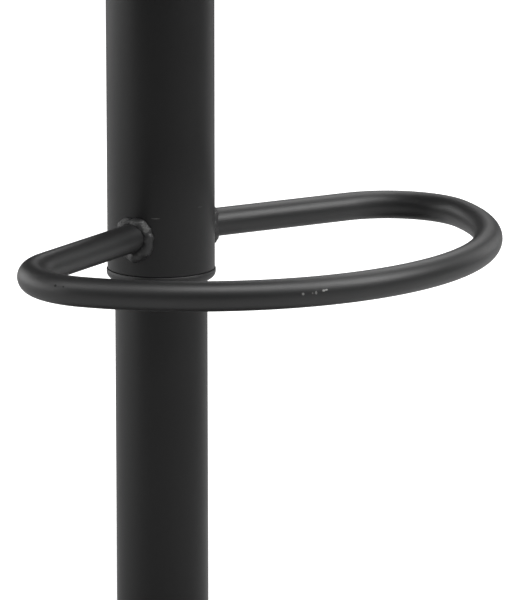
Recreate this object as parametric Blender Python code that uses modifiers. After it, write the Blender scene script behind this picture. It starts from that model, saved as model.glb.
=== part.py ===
"""Gas-lift bar stool with a footrest loop welded to its telescopic column cover.

Frame: +Z up, origin on the floor at the column's axis. The sitter faces -Y, so -X is their right.
The stool stands at the middle of its lift.
"""

import math

import bmesh
import bpy
from mathutils import Matrix, Vector

mm = 0.001
GAP = 0.3 * mm  # between pieces that touch
SLIDE_GAP = 0.3 * mm  # between pieces that slide or turn in each other

# Lift and footrest, in the rest position
LIFT_UP = 100 * mm
LIFT_DOWN = 100 * mm
COVER_BOTTOM_Z = 296 * mm
COVER_LENGTH = 293 * mm

# Column
COLUMN_R = 25 * mm
COLUMN_WALL = 1.5 * mm
COLUMN_TOP_Z = 440 * mm
COLUMN_BOTTOM_Z = 16 * mm
COLUMN_TAPER_Z = 58 * mm
COLUMN_TAPER = 1.1 * mm
COLUMN_FLOOR = 3 * mm
COVER_R = 29 * mm
COVER_WALL = 1.5 * mm

# Collar at the cover's lower end
COLLAR_LIP_PROUD = 0.5 * mm  # outside the cover
COLLAR_LIP_R = COVER_R + COLLAR_LIP_PROUD
COLLAR_LIP_DROP = 6.2 * mm
COLLAR_SLEEVE = 40 * mm

# Guide in the column's mouth
GUIDE_LENGTH = 70 * mm
GUIDE_FLANGE = 9.7 * mm

# Footrest loop, in plan
LOOP_TUBE_R = 7.75 * mm
LOOP_WALL = 1.5 * mm
LOOP_HEIGHT = 21 * mm  # centreline above the cover's lower end
LOOP_FRONT = 183 * mm  # centreline, from the column's axis to the front
LOOP_FRONT_R = 155 * mm
LOOP_CORNER_R = 43 * mm
LOOP_ARM_ANGLE = math.radians(75.3)  # between each arm and straight ahead
LOOP_ARC_STEP = math.radians(9)
WELD_REACH = 4.2 * mm
WELD_LENGTH = 5.5 * mm

# Base
BASE_R = 200 * mm
FLOOR_RING_HEIGHT = 3.2 * mm
FLOOR_RING_WIDTH = 14 * mm
BASE_PLATE_THICKNESS = 5 * mm
BASE_PLATE_LEDGE = 4 * mm  # under the column tube's rim
BASE_PLATE_HOLE_R = COLUMN_R - BASE_PLATE_LEDGE
COVER_SHEET = 1.4 * mm
RIM_HEIGHT = 8 * mm
TRUMPET_RISE = 76 * mm
TRUMPET_CONE = 14 * mm  # the part of the rise that is an even slope
TRUMPET_POWER = 7
TRUMPET_POINTS = 12
SOCKET_WALL = 4.2 * mm
SOCKET_TOP_Z = 52 * mm

# Gas spring
PRESSURE_R = 14 * mm
PRESSURE_WALL = 2 * mm
PRESSURE_LENGTH = 371 * mm
PRESSURE_HEAD = 16 * mm
TAPER_LENGTH = 38 * mm
TAPER_DEPTH = 0.8 * mm
ROD_R = 5 * mm
ROD_TOP_Z = 374 * mm
ROD_FOOT_Z = 10 * mm
ROD_SHOULDER_R = 9 * mm
ROD_SHOULDER = 3 * mm
BEARING_R = 11 * mm
BEARING_HEIGHT = 8 * mm
PISTON_GAP = 0.4 * mm
PISTON_R = PRESSURE_R - PRESSURE_WALL - PISTON_GAP
PISTON_LENGTH = 17 * mm
SEAL_LENGTH = 18 * mm
SEAL_INSET = 3 * mm
CLIP_R = 9 * mm
CLIP_THICKNESS = 1.5 * mm
CLIP_GROOVE = 1 * mm
VALVE_PIN_R = 4 * mm
VALVE_PIN_LENGTH = 18 * mm
VALVE_PIN_PROUD = 8 * mm

# Seat pan and lever
PAN_SHEET = 2.5 * mm
PAN_FLOOR_R = 50 * mm
PAN_WALL_TOP_R = 60 * mm
PAN_FLANGE_R = 88 * mm
PAN_DEPTH = 40.5 * mm
HEAD_SOCKET_WALL = 3.5 * mm
HEAD_SOCKET_R = PRESSURE_R + HEAD_SOCKET_WALL
HEAD_SOCKET_ABOVE = 4 * mm
LEVER_ROD_R = 4 * mm
LEVER_PIVOT_X = -35 * mm
LEVER_BEND_START = -66 * mm
LEVER_BEND_END = -104 * mm
LEVER_DROP = 10 * mm
LEVER_TIP_DROP = 12 * mm
LEVER_TIP_X = -176 * mm
LEVER_ANGLE = math.radians(5)
GRIP_LENGTH = 48 * mm
GRIP_HALF_WIDTH = 11 * mm
GRIP_HALF_HEIGHT = 6.5 * mm
GRIP_REACH = 12 * mm  # past the rod's tip
BRACKET_SHEET = 2 * mm
BRACKET_HALF_LENGTH = 9 * mm
BRACKET_SIDE_GAP = 1.5 * mm
BRACKET_ABOVE = 5 * mm  # above the pivot's axis
PIVOT_PIN_R = 2 * mm
PIVOT_PIN_PROUD = 1.5 * mm
LEVER_SLOT_HALF_WIDTH = 8 * mm
LEVER_SLOT_BELOW = 8 * mm
LEVER_SLOT_ABOVE = 9 * mm

# Seat
BOARD_THICKNESS = 15 * mm
SCREW_CIRCLE_R = (PAN_WALL_TOP_R + PAN_FLANGE_R) / 2
SCREW_R = 3 * mm
SCREW_LENGTH = 16 * mm
SCREW_HEAD_R = 6 * mm
SCREW_HEAD = 3.3 * mm
SCREW_COUNT = 4
TEE_NUT_WALL = 1 * mm
TEE_NUT_FLANGE_R = 9 * mm
TEE_NUT_FLANGE = 1.2 * mm
TEE_NUT_LENGTH = 11 * mm
CUSHION_R = 190 * mm
CUSHION_SIDE = 18 * mm  # foam beside the board
BOARD_R = CUSHION_R - CUSHION_SIDE
CUSHION_HEIGHT = 78 * mm
CUSHION_CROWN = 7 * mm
CUSHION_EDGE_R = 20 * mm
CUSHION_TUCK = 3 * mm  # the cover's wrap below the board's underside
CUSHION_WRAP = 20 * mm  # how far the wrap reaches in under the board
PANEL_THICKNESS = 1.5 * mm

# Facets
FINE, MEDIUM, COARSE = 48, 32, 20

PARTS = "bar_stool"
CUTTERS = "cutters"


def start_scene():
    """Clears the scene and makes the collections for the parts and the cutters."""
    for old in list(bpy.data.objects):
        bpy.data.objects.remove(old)
    for name in (PARTS, CUTTERS):
        collection = bpy.data.collections.new(name)
        bpy.context.scene.collection.children.link(collection)


def finish_of(name, colour, roughness, metallic=0.0):
    """A Principled material."""
    material = bpy.data.materials.new(name)
    material.use_nodes = True
    shader = material.node_tree.nodes["Principled BSDF"]
    shader.inputs["Base Color"].default_value = (*colour, 1.0)
    shader.inputs["Roughness"].default_value = roughness
    shader.inputs["Metallic"].default_value = metallic
    return material


def add_object(name, mesh, material=None, collection=PARTS, parent=None):
    """Links a mesh as a named object."""
    obj = bpy.data.objects.new(name, mesh)
    bpy.data.collections[collection].objects.link(obj)
    if material is not None:
        mesh.materials.append(material)
    if parent is not None:
        obj.parent = parent
    if collection == CUTTERS:
        obj.hide_render = True
        obj.display_type = "WIRE"
    return obj


def turned(name, profile, material=None, steps=FINE, ring=True, collection=PARTS, parent=None):
    """A turned piece from its (radius, height) profile, which runs down its outer side.

    A ring's profile closes on itself, and any other starts and ends on the axis.
    """
    mesh = bpy.data.meshes.new(name)
    points = [(r, 0.0, z) for r, z in profile]
    edges = [(i, i + 1) for i in range(len(points) - 1)]
    if ring:
        edges.append((len(points) - 1, 0))
    mesh.from_pydata(points, edges, [])
    obj = add_object(name, mesh, material, collection, parent)
    screw = obj.modifiers.new("turn", "SCREW")
    screw.steps = screw.render_steps = steps
    screw.use_merge_vertices = True
    screw.merge_threshold = 0.00005
    return obj


def cylinder(name, radius, low, high, steps=FINE, collection=CUTTERS, material=None, parent=None):
    """A solid cylinder on the local Z axis."""
    mesh = bpy.data.meshes.new(name)
    form = bmesh.new()
    bmesh.ops.create_cone(
        form,
        cap_ends=True,
        segments=steps,
        radius1=radius,
        radius2=radius,
        depth=high - low,
        matrix=Matrix.Translation((0, 0, (low + high) / 2)),
    )
    form.to_mesh(mesh)
    form.free()
    return add_object(name, mesh, material, collection, parent)


def box(name, low, high, collection=CUTTERS, material=None, parent=None):
    """A box from its lowest corner to its highest."""
    mesh = bpy.data.meshes.new(name)
    form = bmesh.new()
    size = [b - a for a, b in zip(low, high)]
    centre = [(a + b) / 2 for a, b in zip(low, high)]
    bmesh.ops.create_cube(form, matrix=Matrix.Translation(centre) @ Matrix.Diagonal((*size, 1)))
    form.to_mesh(mesh)
    form.free()
    return add_object(name, mesh, material, collection, parent)


def cut(obj, cutter):
    """Takes the cutter's shape out of the object."""
    boolean = obj.modifiers.new("cut " + cutter.name, "BOOLEAN")
    boolean.operation = "DIFFERENCE"
    boolean.object = cutter


def bevel(obj, width, segments=2):
    """Rounds an object's sharp edges."""
    edge = obj.modifiers.new("edges", "BEVEL")
    edge.width = width
    edge.segments = segments
    edge.limit_method = "ANGLE"


def pivot(name, location, parent=None):
    """An empty on a joint's axis, which the pieces of a moving body hang from."""
    empty = bpy.data.objects.new(name, None)
    bpy.data.collections[PARTS].objects.link(empty)
    empty.location = location
    if parent is not None:
        empty.parent = parent
    return empty


def swept(name, points, radius, material=None, wall=None, sides=3, collection=PARTS):
    """A round bar along points, as a mesh, or a tube with open ends where a wall is given."""
    line = bpy.data.curves.new(name + "_line", "CURVE")
    line.dimensions = "3D"
    line.bevel_depth = radius
    line.bevel_resolution = sides
    line.use_fill_caps = wall is None
    spline = line.splines.new("POLY")
    spline.points.add(len(points) - 1)
    for point, place in zip(spline.points, points):
        point.co = (*place, 1)
    guide = bpy.data.objects.new(name + "_line", line)
    bpy.data.collections[PARTS].objects.link(guide)
    bpy.context.view_layer.update()
    seen = guide.evaluated_get(bpy.context.evaluated_depsgraph_get())
    mesh = bpy.data.meshes.new_from_object(seen)
    mesh.name = name
    mesh.materials.clear()
    form = bmesh.new()
    form.from_mesh(mesh)
    bmesh.ops.remove_doubles(form, verts=form.verts, dist=0.00001)
    form.to_mesh(mesh)
    form.free()
    bpy.data.objects.remove(guide)
    obj = add_object(name, mesh, material, collection)
    if wall is not None:
        shell = obj.modifiers.new("wall", "SOLIDIFY")
        shell.thickness = wall
        shell.offset = -1
    return obj


def circle_places(radius, count, turn=0.0):
    """Points evenly spaced on a circle."""
    for i in range(count):
        angle = turn + 2 * math.pi * i / count
        yield radius * math.cos(angle), radius * math.sin(angle)


def curve_between(start, bend, end, count):
    """Points of a quadratic curve that leaves start and reaches end along lines through bend."""
    for i in range(count + 1):
        t = i / count
        weights = ((1 - t) ** 2, 2 * t * (1 - t), t * t)
        yield tuple(sum(w * p[k] for w, p in zip(weights, (start, bend, end))) for k in (0, 1))


# Heights that follow from the driving ones
SEAT_PAN_FLOOR_Z = COVER_BOTTOM_Z + COVER_LENGTH + GAP
SEAT_PAN_TOP_Z = SEAT_PAN_FLOOR_Z + PAN_DEPTH
BOARD_Z = SEAT_PAN_TOP_Z + GAP
BOARD_TOP_Z = BOARD_Z + BOARD_THICKNESS
PRESSURE_TOP_Z = SEAT_PAN_FLOOR_Z + PAN_SHEET + 6 * mm
PRESSURE_BOTTOM_Z = PRESSURE_TOP_Z - PRESSURE_LENGTH
VALVE_TOP_Z = PRESSURE_TOP_Z + VALVE_PIN_PROUD
LEVER_Z = VALVE_TOP_Z + GAP + LEVER_ROD_R
LOOP_Z = COVER_BOTTOM_Z + LOOP_HEIGHT
BASE_PLATE_Z = FLOOR_RING_HEIGHT + GAP
BASE_PLATE_TOP_Z = BASE_PLATE_Z + BASE_PLATE_THICKNESS
NECK_R = COLUMN_R + GAP + COVER_SHEET


def trumpet_height(radius):
    """Height of the base cover's upper face at a radius: an even slope that sweeps up at the column."""
    t = (BASE_R - radius) / (BASE_R - NECK_R)
    rise = TRUMPET_CONE * t + (TRUMPET_RISE - TRUMPET_CONE) * t**TRUMPET_POWER
    return BASE_PLATE_Z + RIM_HEIGHT + rise


def trumpet_profile():
    """The base cover's upper face from the column out to the rim, as (radius, height)."""
    # points crowd towards the column, where the sheet turns up
    shares = [(i / TRUMPET_POINTS) ** 2.2 for i in range(TRUMPET_POINTS + 1)]
    radii = [NECK_R + share * (BASE_R - NECK_R) for share in shares]
    return [(r, trumpet_height(r)) for r in radii]


def inside_of(profile, depth):
    """The profile moved down and in by a depth, square to itself."""
    moved = []
    for i, point in enumerate(profile):
        before = Vector(profile[max(i - 1, 0)])
        after = Vector(profile[min(i + 1, len(profile) - 1)])
        along = (after - before).normalized()
        moved.append((point[0] + along.y * depth, point[1] - along.x * depth))
    return moved


def make_base(coat, rubber, steel):
    """The standing part: floor ring, ballast plate, trumpet cover and the column's socket."""
    turned(
        "floor_ring",
        [
            (BASE_R, FLOOR_RING_HEIGHT),
            (BASE_R, 0),
            (BASE_R - FLOOR_RING_WIDTH, 0),
            (BASE_R - FLOOR_RING_WIDTH, FLOOR_RING_HEIGHT),
        ],
        rubber,
    )
    plate_r = BASE_R - COVER_SHEET - GAP
    turned(
        "base_plate",
        [
            (plate_r, BASE_PLATE_TOP_Z),
            (plate_r, BASE_PLATE_Z),
            (BASE_PLATE_HOLE_R, BASE_PLATE_Z),
            (BASE_PLATE_HOLE_R, BASE_PLATE_TOP_Z),
        ],
        steel,
    )
    top = trumpet_profile()
    under = inside_of(top, COVER_SHEET)
    under[0] = (NECK_R - COVER_SHEET, top[0][1])
    under[-1] = (BASE_R - COVER_SHEET, top[-1][1] - COVER_SHEET)
    rim = [(BASE_R, BASE_PLATE_Z), (BASE_R - COVER_SHEET, BASE_PLATE_Z)]
    turned("base_cover", top + rim + under[::-1], coat)
    socket_low = BASE_PLATE_TOP_Z + GAP
    outer = COLUMN_R + SOCKET_WALL
    turned(
        "column_socket",
        [
            (outer, SOCKET_TOP_Z),
            (outer, socket_low),
            (column_radius(socket_low) + GAP, socket_low),
            (column_radius(SOCKET_TOP_Z) + GAP, SOCKET_TOP_Z),
        ],
        steel,
    )


def column_radius(z):
    """Outer radius of the column at a height: its foot is tapered to wedge in the socket."""
    share = (COLUMN_TAPER_Z - z) / (COLUMN_TAPER_Z - COLUMN_BOTTOM_Z)
    return COLUMN_R - COLUMN_TAPER * max(share, 0.0)


def make_column(coat, plastic, steel):
    """The gas spring's standing tube with the guide in its mouth and the bearing on its floor."""
    foot_r = column_radius(COLUMN_BOTTOM_Z)
    hole = ROD_R + SLIDE_GAP
    floor_z = COLUMN_BOTTOM_Z + COLUMN_FLOOR
    bore = COLUMN_R - COLUMN_WALL
    turned(
        "column_tube",
        [
            (COLUMN_R, COLUMN_TOP_Z),
            (COLUMN_R, COLUMN_TAPER_Z),
            (foot_r, COLUMN_BOTTOM_Z),
            (hole, COLUMN_BOTTOM_Z),
            (hole, floor_z),
            (column_radius(floor_z) - COLUMN_WALL, floor_z),
            (bore, COLUMN_TAPER_Z),
            (bore, COLUMN_TOP_Z),
        ],
        coat,
    )
    glide_r = COVER_R - COVER_WALL - SLIDE_GAP
    guide_bore = PRESSURE_R + SLIDE_GAP
    flange_z = COLUMN_TOP_Z + GAP
    turned(
        "column_guide",
        [
            (glide_r, flange_z + GUIDE_FLANGE),
            (glide_r, flange_z),
            (bore - GAP, flange_z),
            (bore - GAP, COLUMN_TOP_Z - GUIDE_LENGTH),
            (guide_bore, COLUMN_TOP_Z - GUIDE_LENGTH),
            (guide_bore, flange_z + GUIDE_FLANGE),
        ],
        plastic,
    )
    bearing_z = floor_z + GAP
    turned(
        "thrust_bearing",
        [
            (BEARING_R, bearing_z + BEARING_HEIGHT),
            (BEARING_R, bearing_z),
            (hole, bearing_z),
            (hole, bearing_z + BEARING_HEIGHT),
        ],
        steel,
        MEDIUM,
    )


def make_spindle(steel, rubber):
    """The piston rod, which turns on the thrust bearing, with its piston and its retaining clip."""
    spindle = pivot("spindle_axis", (0, 0, 0))
    shoulder_z = COLUMN_BOTTOM_Z + COLUMN_FLOOR + GAP + BEARING_HEIGHT + GAP
    clip_z = COLUMN_BOTTOM_Z - GAP - CLIP_THICKNESS
    neck = ROD_R - CLIP_GROOVE
    turned(
        "piston_rod",
        [
            (0, ROD_TOP_Z),
            (ROD_R, ROD_TOP_Z),
            (ROD_R, shoulder_z + ROD_SHOULDER),
            (ROD_SHOULDER_R, shoulder_z + ROD_SHOULDER),
            (ROD_SHOULDER_R, shoulder_z),
            (ROD_R, shoulder_z),
            (ROD_R, clip_z + CLIP_THICKNESS + GAP / 2),
            (neck, clip_z + CLIP_THICKNESS + GAP / 2),
            (neck, clip_z - GAP),
            (ROD_R, clip_z - GAP),
            (ROD_R, ROD_FOOT_Z),
            (0, ROD_FOOT_Z),
        ],
        steel,
        COARSE,
        ring=False,
        parent=spindle,
    )
    clip = turned(
        "rod_clip",
        [
            (CLIP_R, clip_z + CLIP_THICKNESS),
            (CLIP_R, clip_z),
            (neck + GAP, clip_z),
            (neck + GAP, clip_z + CLIP_THICKNESS),
        ],
        steel,
        COARSE,
        parent=spindle,
    )
    mouth = box(
        "clip_mouth",
        (-neck * 0.8, 0, clip_z - CLIP_THICKNESS),
        (neck * 0.8, 2 * CLIP_R, clip_z + 2 * CLIP_THICKNESS),
    )
    cut(clip, mouth)
    piston_top = ROD_TOP_Z - 2 * mm
    groove = PISTON_R - 1.5 * mm
    middle = piston_top - PISTON_LENGTH / 2
    turned(
        "piston",
        [
            (PISTON_R, piston_top),
            (PISTON_R, middle + 2 * mm),
            (groove, middle + 2 * mm),
            (groove, middle - 2 * mm),
            (PISTON_R, middle - 2 * mm),
            (PISTON_R, piston_top - PISTON_LENGTH),
            (ROD_R + GAP, piston_top - PISTON_LENGTH),
            (ROD_R + GAP, piston_top),
        ],
        rubber,
        COARSE,
        parent=spindle,
    )


def make_gas_spring_head(steel, rubber, seat):
    """The pressure tube that lifts the seat, its rod seal, and the tapered socket that holds it."""
    taper_z = PRESSURE_TOP_Z - TAPER_LENGTH
    tip_r = PRESSURE_R - TAPER_DEPTH
    inner = PRESSURE_R - PRESSURE_WALL
    pin_hole = VALVE_PIN_R + SLIDE_GAP
    turned(
        "pressure_tube",
        [
            (tip_r, PRESSURE_TOP_Z),
            (PRESSURE_R, taper_z),
            (PRESSURE_R, PRESSURE_BOTTOM_Z),
            (inner, PRESSURE_BOTTOM_Z),
            (inner, PRESSURE_TOP_Z - PRESSURE_HEAD),
            (pin_hole, PRESSURE_TOP_Z - PRESSURE_HEAD),
            (pin_hole, PRESSURE_TOP_Z),
        ],
        steel,
        MEDIUM,
        parent=seat,
    )
    seal_z = PRESSURE_BOTTOM_Z + SEAL_INSET
    turned(
        "rod_seal",
        [
            (inner - GAP, seal_z + SEAL_LENGTH),
            (inner - GAP, seal_z),
            (ROD_R + SLIDE_GAP, seal_z),
            (ROD_R + SLIDE_GAP, seal_z + SEAL_LENGTH),
        ],
        rubber,
        COARSE,
        parent=seat,
    )
    high = SEAT_PAN_FLOOR_Z + PAN_SHEET + HEAD_SOCKET_ABOVE
    low = taper_z + 2 * mm
    slope = TAPER_DEPTH / TAPER_LENGTH
    turned(
        "taper_socket",
        [
            (HEAD_SOCKET_R, high),
            (HEAD_SOCKET_R, low),
            (PRESSURE_R - slope * (low - taper_z) + GAP, low),
            (PRESSURE_R - slope * (high - taper_z) + GAP, high),
        ],
        steel,
        MEDIUM,
        parent=seat,
    )


def make_valve(steel, seat):
    """The release pin in the pressure tube's head."""
    valve = pivot("valve_axis", (0, 0, VALVE_TOP_Z), seat)
    pin = cylinder(
        "valve_pin", VALVE_PIN_R, -VALVE_PIN_LENGTH, 0, COARSE, PARTS, steel, parent=valve
    )
    bevel(pin, 0.6 * mm)


def collar_profile():
    """The collar's section: a sleeve in the cover tube over a lip that rounds in under its end."""
    bore = COLUMN_R + SLIDE_GAP
    sleeve = COVER_R - COVER_WALL - GAP
    lip_z = COVER_BOTTOM_Z - GAP
    bottom = COVER_BOTTOM_Z - COLLAR_LIP_DROP
    lip = curve_between((COLLAR_LIP_R, lip_z), (COLLAR_LIP_R, bottom + 3 * mm), (bore + GAP, bottom), 6)
    top = COVER_BOTTOM_Z + COLLAR_SLEEVE
    return [(sleeve, top), (sleeve, lip_z), *lip, (bore, bottom), (bore, top)]


def make_cover(coat, plastic, seat):
    """The cover tube that slides over the column, with the plastic collar in its lower end."""
    bore = COVER_R - COVER_WALL
    top = COVER_BOTTOM_Z + COVER_LENGTH
    turned(
        "cover_tube",
        [(COVER_R, top), (COVER_R, COVER_BOTTOM_Z), (bore, COVER_BOTTOM_Z), (bore, top)],
        coat,
        parent=seat,
    )
    turned("collar", collar_profile(), plastic, parent=seat)


def loop_half():
    """Half of the loop's centreline in plan, as (sideways, ahead): arm, corner and front arc."""
    along = Vector((math.sin(LOOP_ARM_ANGLE), math.cos(LOOP_ARM_ANGLE)))
    ahead = Vector((-along.y, along.x))
    arc_centre = Vector((0, LOOP_FRONT - LOOP_FRONT_R))
    # the corner's centre lies LOOP_CORNER_R from the arm, and touches the front arc from inside
    offset = ahead * LOOP_CORNER_R - arc_centre
    half_b = offset.dot(along)
    rest = offset.length_squared - (LOOP_FRONT_R - LOOP_CORNER_R) ** 2
    arm = -half_b + math.sqrt(half_b**2 - rest)
    corner_centre = along * arm + ahead * LOOP_CORNER_R
    first = math.atan2(-ahead.y, -ahead.x)
    out = corner_centre - arc_centre
    last = math.atan2(out.y, out.x)
    points = [along * (COVER_R - 6 * mm)]
    points += arc_points(corner_centre, LOOP_CORNER_R, first, last)
    points += arc_points(arc_centre, LOOP_FRONT_R, last, math.pi / 2)[1:]
    return points


def arc_points(centre, radius, start, end):
    """Points along an arc, one each LOOP_ARC_STEP or a little closer."""
    count = max(2, math.ceil(abs(end - start) / LOOP_ARC_STEP))
    angles = [start + (end - start) * i / count for i in range(count + 1)]
    return [centre + radius * Vector((math.cos(a), math.sin(a))) for a in angles]


def make_footrest(coat, seat):
    """The bent loop, coped to the cover tube, with the weld round each end."""
    half = loop_half()
    plan = half + [Vector((-p.x, p.y)) for p in reversed(half[:-1])]
    path = [(p.x, -p.y, LOOP_Z) for p in plan]
    loop = swept("footrest_loop", path, LOOP_TUBE_R, coat, LOOP_WALL)
    loop.parent = seat
    cope = cylinder("cope", COVER_R + GAP, LOOP_Z - 3 * LOOP_TUBE_R, LOOP_Z + 3 * LOOP_TUBE_R)
    cut(loop, cope)
    bore = LOOP_TUBE_R + GAP
    start = COVER_R - 8 * mm
    end = COVER_R + WELD_LENGTH
    for side, name in ((-1, "footrest_weld_right"), (1, "footrest_weld_left")):
        weld = turned(
            name,
            [
                (bore + 0.8 * mm, end),
                (bore + WELD_REACH, COVER_R - 1 * mm),
                (bore + WELD_REACH, start),
                (bore, start),
                (bore, end),
            ],
            coat,
            COARSE,
            parent=seat,
        )
        arm = Vector((side * math.sin(LOOP_ARM_ANGLE), -math.cos(LOOP_ARM_ANGLE), 0))
        weld.rotation_mode = "QUATERNION"
        weld.rotation_quaternion = arm.to_track_quat("Z", "X")
        weld.location = (0, 0, LOOP_Z)
        cut(weld, cope)


def make_seat_pan(coat, steel, seat):
    """The pressed pan between the cover tube and the seat board, and its screws."""
    floor_z = SEAT_PAN_FLOOR_Z
    top_z = SEAT_PAN_TOP_Z
    hole = HEAD_SOCKET_R + GAP
    pan = turned(
        "seat_pan",
        [
            (PAN_FLANGE_R, top_z),
            (PAN_FLANGE_R, top_z - PAN_SHEET),
            (PAN_WALL_TOP_R + PAN_SHEET, top_z - PAN_SHEET),
            (PAN_FLOOR_R + PAN_SHEET, floor_z + PAN_SHEET / 2),
            (PAN_FLOOR_R, floor_z),
            (hole, floor_z),
            (hole, floor_z + PAN_SHEET),
            (PAN_FLOOR_R, floor_z + PAN_SHEET),
            (PAN_WALL_TOP_R, top_z),
        ],
        coat,
        parent=seat,
    )
    slot = box(
        "lever_slot",
        (-PAN_FLANGE_R, -LEVER_SLOT_HALF_WIDTH, LEVER_Z - LEVER_SLOT_BELOW),
        (-HEAD_SOCKET_R, LEVER_SLOT_HALF_WIDTH, LEVER_Z + LEVER_SLOT_ABOVE),
    )
    cut(pan, slot)
    for i, (x, y) in enumerate(circle_places(SCREW_CIRCLE_R, SCREW_COUNT, math.pi / SCREW_COUNT)):
        hole_cutter = cylinder(
            f"pan_hole_{i + 1}", SCREW_R + GAP, top_z - 3 * PAN_SHEET, top_z + PAN_SHEET, COARSE
        )
        hole_cutter.location = (x, y, 0)
        cut(pan, hole_cutter)
        head_z = top_z - PAN_SHEET - GAP
        screw = turned(
            f"seat_screw_{i + 1}",
            [
                (0, head_z + SCREW_LENGTH),
                (SCREW_R - 0.5 * mm, head_z + SCREW_LENGTH),
                (SCREW_R, head_z + SCREW_LENGTH - 0.8 * mm),
                (SCREW_R, head_z),
                (SCREW_HEAD_R, head_z),
                (SCREW_HEAD_R * 0.93, head_z - SCREW_HEAD * 0.5),
                (SCREW_HEAD_R * 0.6, head_z - SCREW_HEAD),
                (0, head_z - SCREW_HEAD),
            ],
            steel,
            COARSE,
            ring=False,
            parent=seat,
        )
        screw.location = (x, y, 0)


def make_lever(coat, steel, plastic, seat):
    """The release lever in its bracket: lifting the grip presses the valve pin."""
    axis = pivot("lever_axis", (LEVER_PIVOT_X, 0, LEVER_Z), seat)
    bracket_z = SEAT_PAN_FLOOR_Z + PAN_SHEET + GAP
    ear_y = LEVER_ROD_R + BRACKET_SIDE_GAP
    half = BRACKET_HALF_LENGTH
    outer_y = ear_y + BRACKET_SHEET
    bracket = box(
        "lever_bracket",
        (LEVER_PIVOT_X - half, -outer_y, bracket_z),
        (LEVER_PIVOT_X + half, outer_y, LEVER_Z + BRACKET_ABOVE),
        PARTS,
        coat,
        seat,
    )
    inside = box(
        "bracket_inside",
        (LEVER_PIVOT_X - 2 * half, -ear_y, bracket_z + BRACKET_SHEET),
        (LEVER_PIVOT_X + 2 * half, ear_y, LEVER_Z + 2 * BRACKET_ABOVE),
    )
    cut(bracket, inside)
    pin_reach = outer_y + PIVOT_PIN_PROUD
    pin_hole = across_lever("bracket_bore", PIVOT_PIN_R + GAP, 2 * pin_reach)
    cut(bracket, pin_hole)
    across_lever("lever_pivot_pin", PIVOT_PIN_R, pin_reach, PARTS, steel)
    bend_middle = (LEVER_BEND_START + LEVER_BEND_END) / 2
    bend = curve_between((LEVER_BEND_START, 0), (bend_middle, 0), (LEVER_BEND_END, -LEVER_DROP), 6)
    run = [(0, 0, LEVER_Z), *((x, 0, LEVER_Z + z) for x, z in bend)]
    run.append((LEVER_TIP_X, 0, LEVER_Z - LEVER_TIP_DROP))
    rod = swept("lever_rod", run, LEVER_ROD_R, steel)
    hang_from(rod, axis)
    cut(rod, across_lever("lever_bore", PIVOT_PIN_R + SLIDE_GAP, 3 * pin_reach))
    grip_z = LEVER_Z - (LEVER_DROP + LEVER_TIP_DROP) / 2
    grip = box(
        "lever_grip",
        (LEVER_TIP_X - GRIP_REACH, -GRIP_HALF_WIDTH, grip_z - GRIP_HALF_HEIGHT),
        (LEVER_TIP_X - GRIP_REACH + GRIP_LENGTH, GRIP_HALF_WIDTH, grip_z + GRIP_HALF_HEIGHT),
        PARTS,
        plastic,
    )
    bevel(grip, 4 * mm, 3)
    hang_from(grip, axis)
    rod_end = (LEVER_TIP_X - GAP, 0, LEVER_Z - LEVER_TIP_DROP)
    rod_bend = (LEVER_BEND_END, 0, LEVER_Z - LEVER_DROP)
    cut(grip, swept("grip_bore", [rod_end, rod_bend], LEVER_ROD_R + GAP, sides=4, collection=CUTTERS))


def across_lever(name, radius, reach, collection=CUTTERS, material=None):
    """A round bar on the lever's hinge axis."""
    bar = cylinder(name, radius, -reach, reach, COARSE, collection, material)
    bar.rotation_euler = (math.pi / 2, 0, 0)
    bar.location = (LEVER_PIVOT_X, 0, LEVER_Z)
    return bar


def hang_from(obj, empty):
    """Parents an object to a pivot and leaves it in place."""
    obj.parent = empty
    bpy.context.view_layer.update()
    obj.matrix_parent_inverse = empty.matrix_world.inverted()


def make_seat(wood, leather, steel, plastic, seat):
    """The plywood board, its tee nuts, the underside panel and the upholstered cushion."""
    board = turned(
        "seat_board",
        [(0, BOARD_TOP_Z), (BOARD_R, BOARD_TOP_Z), (BOARD_R, BOARD_Z), (0, BOARD_Z)],
        wood,
        ring=False,
        parent=seat,
    )
    barrel_r = SCREW_R + GAP + TEE_NUT_WALL
    flange_z = BOARD_TOP_Z - TEE_NUT_FLANGE - GAP
    for i, (x, y) in enumerate(circle_places(SCREW_CIRCLE_R, SCREW_COUNT, math.pi / SCREW_COUNT)):
        recess = turned(
            f"nut_recess_{i + 1}",
            [
                (0, BOARD_TOP_Z + 5 * mm),
                (TEE_NUT_FLANGE_R + GAP, BOARD_TOP_Z + 5 * mm),
                (TEE_NUT_FLANGE_R + GAP, flange_z - GAP),
                (barrel_r + GAP, flange_z - GAP),
                (barrel_r + GAP, BOARD_Z - 5 * mm),
                (0, BOARD_Z - 5 * mm),
            ],
            steps=COARSE,
            ring=False,
            collection=CUTTERS,
        )
        recess.location = (x, y, 0)
        cut(board, recess)
        nut = turned(
            f"tee_nut_{i + 1}",
            [
                (TEE_NUT_FLANGE_R, flange_z + TEE_NUT_FLANGE),
                (TEE_NUT_FLANGE_R, flange_z),
                (barrel_r, flange_z),
                (barrel_r, flange_z - TEE_NUT_LENGTH),
                (SCREW_R + GAP, flange_z - TEE_NUT_LENGTH),
                (SCREW_R + GAP, flange_z + TEE_NUT_FLANGE),
            ],
            steel,
            COARSE,
            parent=seat,
        )
        nut.location = (x, y, 0)
    panel_z = BOARD_Z - GAP
    panel_r = BOARD_R - CUSHION_WRAP - GAP
    turned(
        "underside_panel",
        [
            (panel_r, panel_z),
            (panel_r, panel_z - PANEL_THICKNESS),
            (PAN_FLANGE_R + GAP, panel_z - PANEL_THICKNESS),
            (PAN_FLANGE_R + GAP, panel_z),
        ],
        plastic,
        parent=seat,
    )
    turned("seat_cushion", cushion_profile(), leather, ring=False, parent=seat)


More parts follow.
